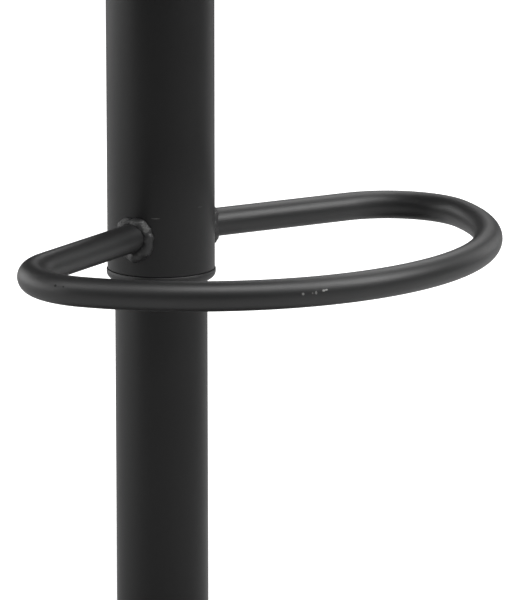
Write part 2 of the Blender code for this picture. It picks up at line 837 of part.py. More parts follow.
def cushion_profile():
    """The cushion's section: crowned top, round shoulder, and a side that wraps in under the board."""
    base_z = BOARD_TOP_Z + GAP
    side_top = BOARD_TOP_Z + CUSHION_HEIGHT - CUSHION_CROWN
    shoulder_r = CUSHION_R - CUSHION_EDGE_R
    top = [
        (shoulder_r * i / 5, side_top + CUSHION_CROWN * (1 - (i / 5) ** 2)) for i in range(6)
    ]
    shoulder = curve_between(
        (shoulder_r, side_top), (CUSHION_R, side_top), (CUSHION_R, side_top - CUSHION_EDGE_R), 6
    )
    foot_z = BOARD_Z - CUSHION_TUCK
    tuck = curve_between(
        (CUSHION_R, foot_z + 14 * mm), (CUSHION_R - 1 * mm, foot_z), (CUSHION_R - 12 * mm, foot_z), 4
    )
    inner = BOARD_R + GAP
    wrap_r = BOARD_R - CUSHION_WRAP
    wrap = [(wrap_r, foot_z), (wrap_r, BOARD_Z - GAP), (inner, BOARD_Z - GAP)]
    return [*top, *list(shoulder)[1:], *tuck, *wrap, (inner, base_z), (0, base_z)]


def main():
    """Makes the stool."""
    start_scene()
    coat = finish_of("black_powder_coat", (0.012, 0.012, 0.013), 0.42)
    plastic = finish_of("black_plastic", (0.01, 0.01, 0.01), 0.5)
    rubber = finish_of("black_rubber", (0.015, 0.015, 0.015), 0.8)
    steel = finish_of("bright_steel", (0.55, 0.55, 0.56), 0.3, 1.0)
    wood = finish_of("birch_plywood", (0.6, 0.45, 0.28), 0.6)
    leather = finish_of("black_leatherette", (0.014, 0.014, 0.015), 0.5)
    make_base(coat, rubber, steel)
    make_column(coat, plastic, steel)
    make_spindle(steel, rubber)
    seat = pivot("seat_axis", (0, 0, 0))
    make_gas_spring_head(steel, rubber, seat)
    bpy.context.view_layer.update()
    make_valve(steel, seat)
    make_cover(coat, plastic, seat)
    make_footrest(coat, seat)
    make_seat_pan(coat, steel, seat)
    make_lever(coat, steel, plastic, seat)
    make_seat(wood, leather, steel, plastic, seat)


main()
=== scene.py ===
"""Gas lift bar stool with a welded footrest loop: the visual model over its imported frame.

Every place and size is in metres in the frame's own axes: +Z up from the floor at the column's axis, with the
sitter facing -Y. Each sub-assembly is a class that holds its sizes, builds its meshes and dresses them.
"""

import logging
import math
from collections.abc import Callable, Iterable, Sequence
from dataclasses import dataclass
from enum import Enum
from typing import Any, Union

import bmesh
import bpy
from mathutils import Matrix, Vector, noise
from mathutils.bvhtree import BVHTree


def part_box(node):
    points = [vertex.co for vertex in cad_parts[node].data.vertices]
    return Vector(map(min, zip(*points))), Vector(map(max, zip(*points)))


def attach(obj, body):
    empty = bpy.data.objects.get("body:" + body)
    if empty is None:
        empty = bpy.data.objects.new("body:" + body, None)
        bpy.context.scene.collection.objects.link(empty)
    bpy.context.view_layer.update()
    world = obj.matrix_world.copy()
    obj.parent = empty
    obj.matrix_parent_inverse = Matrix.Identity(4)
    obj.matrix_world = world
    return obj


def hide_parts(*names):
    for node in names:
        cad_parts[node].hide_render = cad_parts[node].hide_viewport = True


MM = 0.001
LOG = logging.getLogger("bar_stool")
Point = tuple[float, float]
Place = tuple[float, float, float]
Number = Union[float, "Wire"]


class Body(str, Enum):
    """The frame's bodies that the new pieces ride on."""

    BASE = "base"
    SEAT = "seat"
    LEVER = "lever"


class Slot(str, Enum):
    """The record's material slots that the new pieces take."""

    COAT = "black_powder_coat"
    PLASTIC = "black_plastic"
    RUBBER = "black_rubber"
    STEEL = "bright_steel"
    LEATHERETTE = "black_leatherette"


def math_operator(operation: str, reflected: bool = False) -> Callable[["Wire", Number], "Wire"]:
    """A Python operator that adds one Math node.

    Args:
        operation: the Math node's operation.
        reflected: whether the wire is the node's second value.

    Returns:
        The operator, as a method for Wire.
    """

    def apply(wire: "Wire", other: Number) -> "Wire":
        """Adds the node, and gives its result."""
        values = (other, wire) if reflected else (wire, other)
        node = wire.bench.node("ShaderNodeMath", {"operation": operation}, dict(enumerate(values)))
        return Wire(wire.bench, node.outputs[0])

    return apply


class Wire:
    """A number carried by a material's node socket, which Python's operators work on."""

    __add__ = math_operator("ADD")
    __radd__ = math_operator("ADD", reflected=True)
    __sub__ = math_operator("SUBTRACT")
    __rsub__ = math_operator("SUBTRACT", reflected=True)
    __mul__ = math_operator("MULTIPLY")
    __rmul__ = math_operator("MULTIPLY", reflected=True)

    def __init__(self, bench: "Bench", socket: bpy.types.NodeSocket) -> None:
        """Wraps an output socket of the bench's node tree."""
        self.bench = bench
        self.socket = socket


class Bench:
    """One material while its nodes are being wired."""

    def __init__(self, name: str) -> None:
        """Starts a material with its Principled shader and Object coordinates."""
        self.material = bpy.data.materials.new(name)
        self.material.use_nodes = True
        self.tree = self.material.node_tree
        self.shader = self.tree.nodes["Principled BSDF"]
        self.coords = self.node("ShaderNodeTexCoord").outputs["Object"]

    def node(
        self,
        kind: str,
        settings: dict[str, Any] | None = None,
        sockets: dict[Any, Any] | None = None,
    ) -> bpy.types.Node:
        """Makes any node.

        Args:
            kind: the node's type.
            settings: its properties, set first.
            sockets: values or links for its inputs, by name or number.

        Returns:
            The node.
        """
        made = self.tree.nodes.new(kind)
        for name, value in (settings or {}).items():
            setattr(made, name, value)
        for key, value in (sockets or {}).items():
            self.feed(made.inputs[key], value)
        return made

    def feed(self, socket: bpy.types.NodeSocket, value: Any) -> None:
        """Sets a socket to a constant, or links a wire or an output to it."""
        if isinstance(value, Wire):
            self.tree.links.new(value.socket, socket)
        elif isinstance(value, bpy.types.NodeSocket):
            self.tree.links.new(value, socket)
        else:
            socket.default_value = value

    def speckle(self, size: float, detail: float = 2.0, seed: float = 0.0, where: Any = None) -> Wire:
        """Noise from 0 to 1.

        Args:
            size: about how far apart its spots are, in metres.
            detail: how many finer layers it has.
            seed: picks a different pattern.
            where: coordinates, or None for the piece's own.

        Returns:
            The noise value.
        """
        node = self.node(
            "ShaderNodeTexNoise",
            {"noise_dimensions": "4D"},
            {"Vector": where or self.coords, "W": seed, "Scale": 1.0 / size, "Detail": detail},
        )
        return Wire(self, node.outputs[0])

    def stretched(self, across: Place) -> bpy.types.NodeSocket:
        """The piece's coordinates multiplied along each axis."""
        node = self.node("ShaderNodeMapping", {}, {"Vector": self.coords, "Scale": across})
        return node.outputs[0]

    def step(self, value: Number, low: float, high: float) -> Wire:
        """A smooth step.

        Args:
            value: what is tested.
            low: where the result is 0.
            high: where the result is 1; it may be the lower of the two.

        Returns:
            0 to 1.
        """
        node = self.node(
            "ShaderNodeMapRange",
            {"interpolation_type": "SMOOTHSTEP"},
            {"Value": value, "From Min": low, "From Max": high},
        )
        return Wire(self, node.outputs[0])

    def reach(self, centre: Place, across: Place = (1.0, 1.0, 1.0)) -> Wire:
        """Distance from a point in the piece, with each axis multiplied first."""
        moved = self.node("ShaderNodeVectorMath", {"operation": "SUBTRACT"}, {0: self.coords, 1: centre})
        scaled = self.node(
            "ShaderNodeVectorMath", {"operation": "MULTIPLY"}, {0: moved.outputs[0], 1: across}
        )
        length = self.node("ShaderNodeVectorMath", {"operation": "LENGTH"}, {0: scaled.outputs[0]})
        return Wire(self, length.outputs["Value"])

    def axis(self, name: str) -> Wire:
        """One of the piece's own coordinates, X, Y or Z."""
        node = self.node("ShaderNodeSeparateXYZ", {}, {0: self.coords})
        return Wire(self, node.outputs[name])

    def blend(self, share: Number, first: Any, second: Any) -> bpy.types.NodeSocket:
        """Mixes two colours.

        Args:
            share: 0 gives the first colour and 1 the second.
            first: an RGB triple or a colour output.
            second: the same.

        Returns:
            The mixed colour output.
        """
        tints = [(*tint, 1.0) if isinstance(tint, tuple) else tint for tint in (first, second)]
        node = self.node("ShaderNodeMix", {"data_type": "RGBA"}, {0: share, 6: tints[0], 7: tints[1]})
        return node.outputs[2]

    def relief(self, height: Wire, depth: float, strength: float = 1.0) -> None:
        """Feeds a bump of that depth in metres to the shader's normal."""
        node = self.node(
            "ShaderNodeBump", {}, {"Height": height, "Distance": depth, "Strength": strength}
        )
        self.feed(self.shader.inputs["Normal"], node.outputs[0])

    def shade(self, **sockets: Any) -> None:
        """Sets or links the shader's sockets, named with underscores for spaces."""
        for name, value in sockets.items():
            self.feed(self.shader.inputs[name.replace("_", " ")], value)


@dataclass(frozen=True)
class CoatMark:
    """A mark blended into the coat: a spot where the coat has been knocked off; on the welds, a pale spot
    that is a painted highlight; or, where its strength is negative, a dent darkened to near black with
    painted shade.
    """

    centre: Place
    size: float
    across: Place = (1.0, 1.0, 1.0)
    strength: float = 0.7


@dataclass(frozen=True)
class Finish:
    """What a piece is coated or made with."""

    name: str

    def dress(self) -> bpy.types.Material:
        """Makes the material."""
        bench = Bench(self.name)
        self.paint(bench)
        return bench.material

    def paint(self, bench: Bench) -> None:
        """Wires the finish's nodes."""
        raise NotImplementedError


@dataclass(frozen=True)
class PowderCoat(Finish):
    """Satin black powder coat with a fine grain and a slight orange peel."""

    roughness: float = 0.44
    grain: float = 0.55 * MM
    depth: float = 0.045 * MM
    # How light the coat's tone is; values above the tubes' 0.75 paint light into the coat.
    lift: float = 0.75
    ior: float = 1.38
    coat_marks: tuple[CoatMark, ...] = ()

    def paint(self, bench: Bench) -> None:
        """Wires the finish's nodes."""
        fine = bench.speckle(self.grain, 3.0, 1.0)
        peel = bench.speckle(3.2 * MM, 2.0, 5.0)
        cloud = bench.speckle(38 * MM, 3.0, 9.0)
        dust = bench.step(bench.speckle(1.1 * MM, 2.0, 3.0), 0.66, 0.78)
        dark, light = 0.0062 * self.lift, 0.0105 * self.lift
        tint = bench.blend(cloud, (dark, dark, dark * 1.03), (light, light, light * 1.03))
        tint = bench.blend(dust * 0.12, tint, (0.05, 0.05, 0.05))
        gloss = self.roughness + (cloud - 0.5) * 0.10 + (fine - 0.5) * 0.10
        height = fine * 0.7 + peel * 0.5
        for number, coat_mark in enumerate(self.coat_marks):
            ragged = (bench.speckle(coat_mark.size * 0.5, 3.0, 20.0 + number) - 0.5) * coat_mark.size
            knocked_or_painted_mark = bench.step(bench.reach(coat_mark.centre, coat_mark.across) + ragged, coat_mark.size, coat_mark.size * 0.6)
            # Positive marks blend towards bare steel, which on the welds' upper sides is a painted highlight;
            # negative ones blend towards near black, painted shade in a pit.
            bare_or_painted_light = (0.34, 0.34, 0.33) if coat_mark.strength > 0 else (0.002, 0.002, 0.002)
            tint = bench.blend(knocked_or_painted_mark * abs(coat_mark.strength), tint, bare_or_painted_light)
            gloss = gloss + knocked_or_painted_mark * (0.2 if coat_mark.strength > 0 else 0.5)
            height = height - knocked_or_painted_mark * 1.5
        bench.shade(Base_Color=tint, Roughness=gloss, IOR=self.ior)
        bench.relief(height, self.depth)


@dataclass(frozen=True)
class MouldedPlastic(Finish):
    """Black moulded plastic with a spark-eroded surface."""

    roughness: float = 0.5
    shade: float = 0.012

    def paint(self, bench: Bench) -> None:
        """Wires the finish's nodes."""
        spark = bench.speckle(0.35 * MM, 2.0, 2.0)
        flow = bench.speckle(14 * MM, 3.0, 4.0, bench.stretched((1.0, 1.0, 0.4)))
        dark, pale = self.shade * 0.8, self.shade * 1.4
        tint = bench.blend(flow, (dark, dark, dark), (pale, pale, pale * 1.03))
        bench.shade(Base_Color=tint, Roughness=self.roughness + (flow - 0.5) * 0.14, IOR=1.42)
        bench.relief(spark + flow * 0.6, 0.03 * MM)


@dataclass(frozen=True)
class SoftRubber(Finish):
    """Black rubber with a dusty bloom."""

    def paint(self, bench: Bench) -> None:
        """Wires the finish's nodes."""
        bloom = bench.speckle(9 * MM, 4.0, 1.0)
        pores = bench.speckle(0.8 * MM, 2.0, 6.0)
        tint = bench.blend(bench.step(bloom, 0.35, 0.75), (0.012, 0.012, 0.012), (0.035, 0.034, 0.032))
        bench.shade(Base_Color=tint, Roughness=0.74 + (bloom - 0.5) * 0.15)
        bench.relief(pores, 0.06 * MM)


@dataclass(frozen=True)
class PlatedSteel(Finish):
    """Zinc plated or ground steel with turning marks and light stains."""

    roughness: float = 0.28
    tone: tuple[float, float, float] = (0.58, 0.585, 0.6)

    def paint(self, bench: Bench) -> None:
        """Wires the finish's nodes."""
        stain = bench.speckle(11 * MM, 4.0, 3.0)
        turning = bench.speckle(0.7 * MM, 2.0, 8.0, bench.stretched((0.08, 0.08, 1.6)))
        dull = tuple(0.62 * part for part in self.tone)
        tint = bench.blend(bench.step(stain, 0.45, 0.8), self.tone, dull)
        gloss = self.roughness + (stain - 0.4) * 0.25 + (turning - 0.5) * 0.08
        bench.shade(Base_Color=tint, Metallic=1.0, Roughness=gloss)
        bench.relief(turning + stain * 0.3, 0.02 * MM)


@dataclass(frozen=True)
class Plywood(Finish):
    """Birch plywood: face grain along X, and plies seen at the edge."""

    ply: float = 1.36 * MM

    def paint(self, bench: Bench) -> None:
        """Wires the finish's nodes."""
        figure = bench.speckle(9 * MM, 4.0, 2.0, bench.stretched((0.12, 1.0, 1.0)))
        pores = bench.speckle(0.9 * MM, 2.0, 7.0, bench.stretched((0.06, 1.0, 1.0)))
        layer = bench.node("ShaderNodeMath", {"operation": "PINGPONG"}, {0: bench.axis("Z"), 1: self.ply})
        glue = bench.step(Wire(bench, layer.outputs[0]), self.ply * 0.16, 0.0)
        tint = bench.blend(figure, (0.46, 0.31, 0.17), (0.64, 0.48, 0.3))
        tint = bench.blend(pores * 0.25, tint, (0.3, 0.19, 0.1))
        tint = bench.blend(glue * 0.5, tint, (0.2, 0.11, 0.05))
        bench.shade(Base_Color=tint, Roughness=0.58 + (figure - 0.5) * 0.12)
        bench.relief(pores + figure * 0.4, 0.08 * MM)


@dataclass(frozen=True)
class Leatherette(Finish):
    """Grained black coated cloth with soft creases."""

    pebble: float = 1.5 * MM

    def paint(self, bench: Bench) -> None:
        """Wires the finish's nodes."""
        wander = bench.node(
            "ShaderNodeTexVoronoi",
            {"feature": "DISTANCE_TO_EDGE"},
            {"Vector": bench.coords, "Scale": 1.0 / self.pebble, "Randomness": 1.0},
        )
        grain = bench.step(Wire(bench, wander.outputs["Distance"]), 0.0, 0.22)
        crease = bench.speckle(26 * MM, 5.0, 4.0)
        polish = bench.speckle(60 * MM, 3.0, 7.0)
        tint = bench.blend(grain, (0.005, 0.005, 0.0055), (0.014, 0.0138, 0.0145))
        tint = bench.blend(bench.step(crease, 0.55, 0.8) * 0.35, tint, (0.026, 0.025, 0.025))
        gloss = 0.5 + (polish - 0.5) * 0.2 - grain * 0.07
        bench.shade(Base_Color=tint, Roughness=gloss, IOR=1.45)
        bench.relief(grain * 0.8 + crease * 0.9, 0.16 * MM, 0.8)


@dataclass(frozen=True)
class Felt(Finish):
    """Thin non-woven cloth with a pressed dot pattern."""

    def paint(self, bench: Bench) -> None:
        """Wires the finish's nodes."""
        fibre = bench.speckle(0.6 * MM, 4.0, 3.0, bench.stretched((1.0, 0.35, 1.0)))
        cells = bench.node(
            "ShaderNodeTexVoronoi",
            {"feature": "F1"},
            {"Vector": bench.coords, "Scale": 1.0 / (1.9 * MM), "Randomness": 0.15},
        )
        dots = bench.step(Wire(bench, cells.outputs["Distance"]), 0.32, 0.22)
        tint = bench.blend(fibre, (0.012, 0.012, 0.012), (0.03, 0.03, 0.03))
        bench.shade(Base_Color=tint, Roughness=0.82 + (fibre - 0.5) * 0.1)
        bench.relief(fibre - dots * 0.9, 0.14 * MM)


@dataclass(frozen=True)
class Thread(Finish):
    """Twisted black sewing thread."""

    def paint(self, bench: Bench) -> None:
        """Wires the finish's nodes."""
        twist = bench.speckle(0.4 * MM, 2.0, 2.0)
        tint = bench.blend(twist, (0.012, 0.012, 0.012), (0.034, 0.034, 0.036))
        bench.shade(Base_Color=tint, Roughness=0.62 + (twist - 0.5) * 0.2)
        bench.relief(twist, 0.1 * MM)


class Finishes:
    """Every finish, made once and shared by the pieces that wear it."""

    def __init__(self) -> None:
        """Starts with no finish made."""
        self.made: dict[str, bpy.types.Material] = {}

    def get(self, finish: Finish) -> bpy.types.Material:
        """The material of a finish."""
        if finish.name not in self.made:
            self.made[finish.name] = finish.dress()
        return self.made[finish.name]


FINISHES = Finishes()
COAT = PowderCoat("powder_coat")
PLASTIC = MouldedPlastic("moulded_plastic")
GRIP_PLASTIC = MouldedPlastic("grip_plastic", roughness=0.42)
RUBBER = SoftRubber("soft_rubber")
STEEL = PlatedSteel("plated_steel")
MILL_STEEL = PlatedSteel("mill_steel", roughness=0.5, tone=(0.3, 0.3, 0.31))
PLYWOOD = Plywood("birch_ply")
LEATHERETTE = Leatherette("leatherette")
FELT = Felt("underside_felt")
THREAD = Thread("sewing_thread")


def softened(points: Sequence[Point], radius: float, segments: int = 4) -> list[Point]:
    """Rounds every corner of a closed outline.

    Args:
        points: the outline's corners.
        radius: how far from a corner the rounding starts, less where the sides are short.
        segments: how many pieces each rounding has.

    Returns:
        The rounded outline.
    """
    smooth: list[Point] = []
    for i, corner in enumerate(points):
        middle = Vector(corner)
        before = Vector(points[i - 1]) - middle
        after = Vector(points[(i + 1) % len(points)]) - middle
        cut = min(radius, before.length * 0.45, after.length * 0.45)
        start = middle + before.normalized() * cut
        end = middle + after.normalized() * cut
        for j in range(segments + 1):
            t = j / segments
            smooth.append(tuple(start * (1 - t) ** 2 + middle * 2 * t * (1 - t) + end * t * t))
    return smooth


def corners(node: str) -> tuple[Vector, Vector]:
    """The low and the high corner of a CAD node's box."""
    low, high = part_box(node)
    return Vector(low), Vector(high)


def revolve(form: bmesh.types.BMesh, steps: int) -> None:
    """Turns a whole shape full circle round the Z axis, and merges its ends."""
    bmesh.ops.spin(
        form,
        geom=list(form.verts) + list(form.edges),
        cent=(0, 0, 0),
        axis=(0, 0, 1),
        dvec=(0, 0, 0),
        angle=2 * math.pi,
        steps=steps,
        use_merge=True,
        use_duplicate=False,
    )
    bmesh.ops.remove_doubles(form, verts=form.verts, dist=0.000002)


def turned(profile: Sequence[Point], steps: int = 192, closed: bool = True) -> bmesh.types.BMesh:
    """Turns a profile round the Z axis.

    Args:
        profile: (radius, height) points.
        steps: facets round the axis.
        closed: whether the profile is a loop; one that isn't starts and ends on the axis.

    Returns:
        The closed shape, with its faces outwards.
    """
    form = bmesh.new()
    verts = [form.verts.new((r, 0.0, z)) for r, z in profile]
    for pair in zip(verts, verts[1:]):
        form.edges.new(pair)
    if closed:
        form.edges.new((verts[-1], verts[0]))
    revolve(form, steps)
    bmesh.ops.recalc_face_normals(form, faces=form.faces)
    return form


def cord_ring(middle: float, radius: float, sides: int, steps: int) -> bmesh.types.BMesh:
    """Makes a ring of round cord about the Z axis.

    Args:
        middle: the ring's radius, to the cord's middle.
        radius: the cord's radius.
        sides: facets round the cord.
        steps: facets round the ring.

    Returns:
        The ring.
    """
    form = bmesh.new()
    stand = Matrix.Translation((middle, 0, 0)) @ Matrix.Rotation(math.pi / 2, 4, "X")
    bmesh.ops.create_circle(form, cap_ends=False, segments=sides, radius=radius, matrix=stand)
    revolve(form, steps)
    return form


def tube_outline(low: Vector, high: Vector, wall: float) -> list[Point]:
    """The section of a plain tube that fills a box: down its outside and up its inside."""
    bore = high.x - wall
    return [(high.x, high.z), (high.x, low.z), (bore, low.z), (bore, high.z)]


def round_edges(
    form: bmesh.types.BMesh, edges: Sequence[bmesh.types.BMEdge], width: float, segments: int
) -> None:
    """Rounds edges of a shape."""
    bmesh.ops.bevel(
        form,
        geom=edges,
        offset=width,
        offset_type="OFFSET",
        affect="EDGES",
        segments=segments,
        profile=0.5,
        material=-1,
        clamp_overlap=True,
    )


def finished(
    name: str,
    form: bmesh.types.BMesh,
    finish: Finish,
    body: Body,
    stands_for: Iterable[str] = (),
    sharp: float = 40.0,
) -> bpy.types.Object:
    """Makes a shape into a piece of the stool.

    Args:
        name: the piece's name.
        form: its shape, which is freed.
        finish: what it is coated or made with.
        body: the body it moves with.
        stands_for: the CAD nodes that it replaces.
        sharp: the angle in degrees above which an edge stays crisp.

    Returns:
        The piece.
    """
    mesh = bpy.data.meshes.new(name)
    form.to_mesh(mesh)
    form.free()
    mesh.shade_smooth()
    mesh.set_sharp_from_angle(angle=math.radians(sharp))
    mesh.materials.append(FINISHES.get(finish))
    piece = bpy.data.objects.new(name, mesh)
    bpy.context.scene.collection.objects.link(piece)
    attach(piece, body.value)
    if stands_for:
        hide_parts(*stands_for)
    LOG.info("%s: %d faces on %s", name, len(mesh.polygons), body.value)
    return piece


def refined(node: str, finish: Finish, body: Body, edge: float = 0.0) -> bpy.types.Object:
    """Replaces a CAD node with a merged copy of it that has rounded edges.

    Args:
        node: the CAD node.
        finish: what the copy is made with.
        body: the body it moves with.
        edge: the width of the rounding, or 0 for none.

    Returns:
        The copy.
    """
    form = bmesh.new()
    form.from_mesh(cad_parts[node].data)
    bmesh.ops.remove_doubles(form, verts=form.verts, dist=0.000005)
    flat = math.radians(1.0)
    bmesh.ops.dissolve_limit(form, angle_limit=flat, verts=form.verts, edges=form.edges)
    if edge:
        crisp = [e for e in form.edges if len(e.link_faces) == 2 and e.calc_face_angle(0.0) > 0.6]
        round_edges(form, crisp, edge, 3)
    bmesh.ops.triangulate(form, faces=form.faces)
    return finished("fine_" + node, form, finish, body, (node,), sharp=32.0)


def redress(finish: Finish, *nodes: str) -> None:
    """Gives CAD nodes that keep their shape their finish."""
    for node in nodes:
        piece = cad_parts[node]
        piece.data.materials.clear()
        piece.data.materials.append(FINISHES.get(finish))
        LOG.info("%s: kept from the frame", node)


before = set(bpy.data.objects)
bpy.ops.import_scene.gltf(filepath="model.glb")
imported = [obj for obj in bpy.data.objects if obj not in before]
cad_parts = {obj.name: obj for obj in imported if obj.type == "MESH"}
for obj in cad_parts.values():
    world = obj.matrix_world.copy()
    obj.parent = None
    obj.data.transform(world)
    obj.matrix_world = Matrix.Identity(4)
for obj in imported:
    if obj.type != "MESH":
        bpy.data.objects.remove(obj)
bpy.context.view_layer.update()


@dataclass
class Base:
    """The weighted foot: rubber ring, ballast plate, trumpet cover and column socket."""

    ring_width: float = 14 * MM
    ring_round: float = 0.9 * MM
    sheet: float = 1.4 * MM
    neck_gap: float = 0.3 * MM
    cone: float = 14 * MM
    power: float = 7.0
    spacing: float = 2.2
    points: int = 64
    rim_height: float = 8 * MM
    rim_round: float = 2.4 * MM
    rim_sweep: float = 85.0
    rim_points: int = 8
    hem_round: float = 0.6 * MM

    def build(self) -> None:
        """Makes the pieces."""
        outline = tube_outline(*corners("floor_ring"), self.ring_width)
        ring = turned(softened(outline, self.ring_round), 256)
        finished("floor_grip_ring", ring, RUBBER, Body.BASE, ("floor_ring",))
        cover = turned(self.section(), 256)
        finished("trumpet_cover", cover, COAT, Body.BASE, ("base_cover",), sharp=50.0)
        redress(MILL_STEEL, "base_plate", "column_socket")

    def section(self) -> list[Point]:
        """The trumpet's section: its outer face down to a rolled rim, and back inside."""
        low, high = corners("base_cover")
        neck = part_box("column_tube")[1][0] + self.neck_gap + self.sheet
        rim_top = low.z + self.rim_height
        rise = high.z - rim_top
        outer: list[Point] = []
        for i in range(self.points + 1):
            radius = neck + (i / self.points) ** self.spacing * (high.x - neck)
            t = (high.x - radius) / (high.x - neck)
            outer.append((radius, rim_top + self.cone * t + (rise - self.cone) * t**self.power))
        # The rim rolls over from the slope to a short upright wall.
        outer = [p for p in outer if p[0] < high.x - self.rim_round]
        for j in range(self.rim_points + 1):
            turn = math.radians(90 - self.rim_sweep * j / self.rim_points)
            radius = high.x - self.rim_round * (1 - math.cos(turn))
            outer.append((radius, rim_top - self.rim_round * (1 - math.sin(turn))))
        outer.append((high.x, low.z + self.hem_round))
        outer.append((high.x - self.hem_round, low.z))
        inner: list[Point] = []
        for i in range(len(outer) - 2):
            before = Vector(outer[max(i - 1, 0)])
            after = Vector(outer[i + 1])
            along = (after - before).normalized()
            inner.append((outer[i][0] + along.y * self.sheet, outer[i][1] - along.x * self.sheet))
        inner[0] = (neck - self.sheet, outer[0][1])
        inner.append((high.x - self.sheet, low.z))
        return outer + inner[::-1]


@dataclass
class Column:
    """The standing tube of the gas spring, with its guide and inner works."""

    wall: float = 1.5 * MM
    floor: float = 3 * MM
    taper_z: float = 58 * MM
    taper: float = 1.1 * MM
    hole_r: float = 5.3 * MM

    def build(self) -> None:
        """Makes the pieces."""
        low, high = corners("column_tube")
        foot = high.x - self.taper
        outline = [
            (high.x, high.z),
            (high.x, self.taper_z),
            (foot, low.z),
            (self.hole_r, low.z),
            (self.hole_r, low.z + self.floor),
            (foot - self.wall, low.z + self.floor),
            (high.x - self.wall, self.taper_z),
            (high.x - self.wall, high.z),
        ]
        tube = turned(softened(outline, 0.5 * MM))
        finished("standing_tube", tube, COAT, Body.BASE, ("column_tube",))
        redress(PLASTIC, "column_guide")
        redress(STEEL, "thrust_bearing", "piston_rod", "rod_clip", "pressure_tube", "taper_socket")
        redress(STEEL, "valve_pin")
        redress(RUBBER, "piston", "rod_seal")


@dataclass
class Cover:
    """The tube that slides down over the column, with the collar in its lower end."""

    wall: float = 1.5 * MM
    end_round: float = 0.35 * MM
    gap: float = 0.3 * MM
    sleeve_height: float = 40 * MM
    lip_drop: float = 5.9 * MM
    lip_proud: float = 0.5 * MM
    lip_points: int = 8

    def build(self) -> None:
        """Makes the pieces."""
        low, high = corners("cover_tube")
        outline = tube_outline(low, high, self.wall)
        scuff = CoatMark(self.on_face(-2.7 * MM, 32 * MM), 1.0 * MM, (0.34, 0.34, 3.4), 0.17)
        speck = CoatMark(self.on_face(23.5 * MM, 36.6 * MM), 0.8 * MM, (0.4, 0.4, 3.0), 0.08)
        coat = PowderCoat("powder_coat_on_cover", coat_marks=(scuff, speck))
        tube = turned(softened(outline, self.end_round))
        finished("sliding_cover_tube", tube, coat, Body.SEAT, ("cover_tube",))
        collar = turned(self.collar_outline(low.z, high.x))
        finished("end_collar", collar, PLASTIC, Body.SEAT, ("collar",), sharp=50.0)

    @staticmethod
    def on_face(along: float, above: float) -> Place:
        """A point on the cover's front right face.

        Args:
            along: how far round towards the sitter's front it lies.
            above: its height over the cover's lower end.

        Returns:
            The point.
        """
        low, high = corners("cover_tube")
        turn = math.radians(225) + along / high.x
        return (high.x * math.cos(turn), high.x * math.sin(turn), low.z + above)

    def collar_outline(self, end_z: float, cover_r: float) -> list[Point]:
        """The collar's section: its sleeve, its proud lip and the lip's rounded lower edge."""
        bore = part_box("column_tube")[1][0] + self.gap
        sleeve = cover_r - self.wall - self.gap
        lip_r = cover_r + self.lip_proud
        top = end_z - self.gap
        bottom = end_z - self.lip_drop
        lip = [(lip_r - 0.25 * MM, top), (lip_r, top - 0.3 * MM)]
        start = (lip_r, top - 1.9 * MM)
        bend = (lip_r - 0.1 * MM, bottom + 1.2 * MM)
        end = (bore + 1.0 * MM, bottom)
        for j in range(self.lip_points + 1):
            t = j / self.lip_points
            lip.append(
                tuple((1 - t) ** 2 * start[k] + 2 * t * (1 - t) * bend[k] + t * t * end[k] for k in (0, 1))
            )
        inner_top = end_z + self.sleeve_height
        return [(sleeve, inner_top), (sleeve, top), *lip, (bore, bottom + 0.5 * MM), (bore, inner_top)]


@dataclass(frozen=True)
class Blob:
    """A place on a weld bead where the metal piled up: where, how wide (degrees) and how much."""

    turn: float
    spread: float
    swell: float


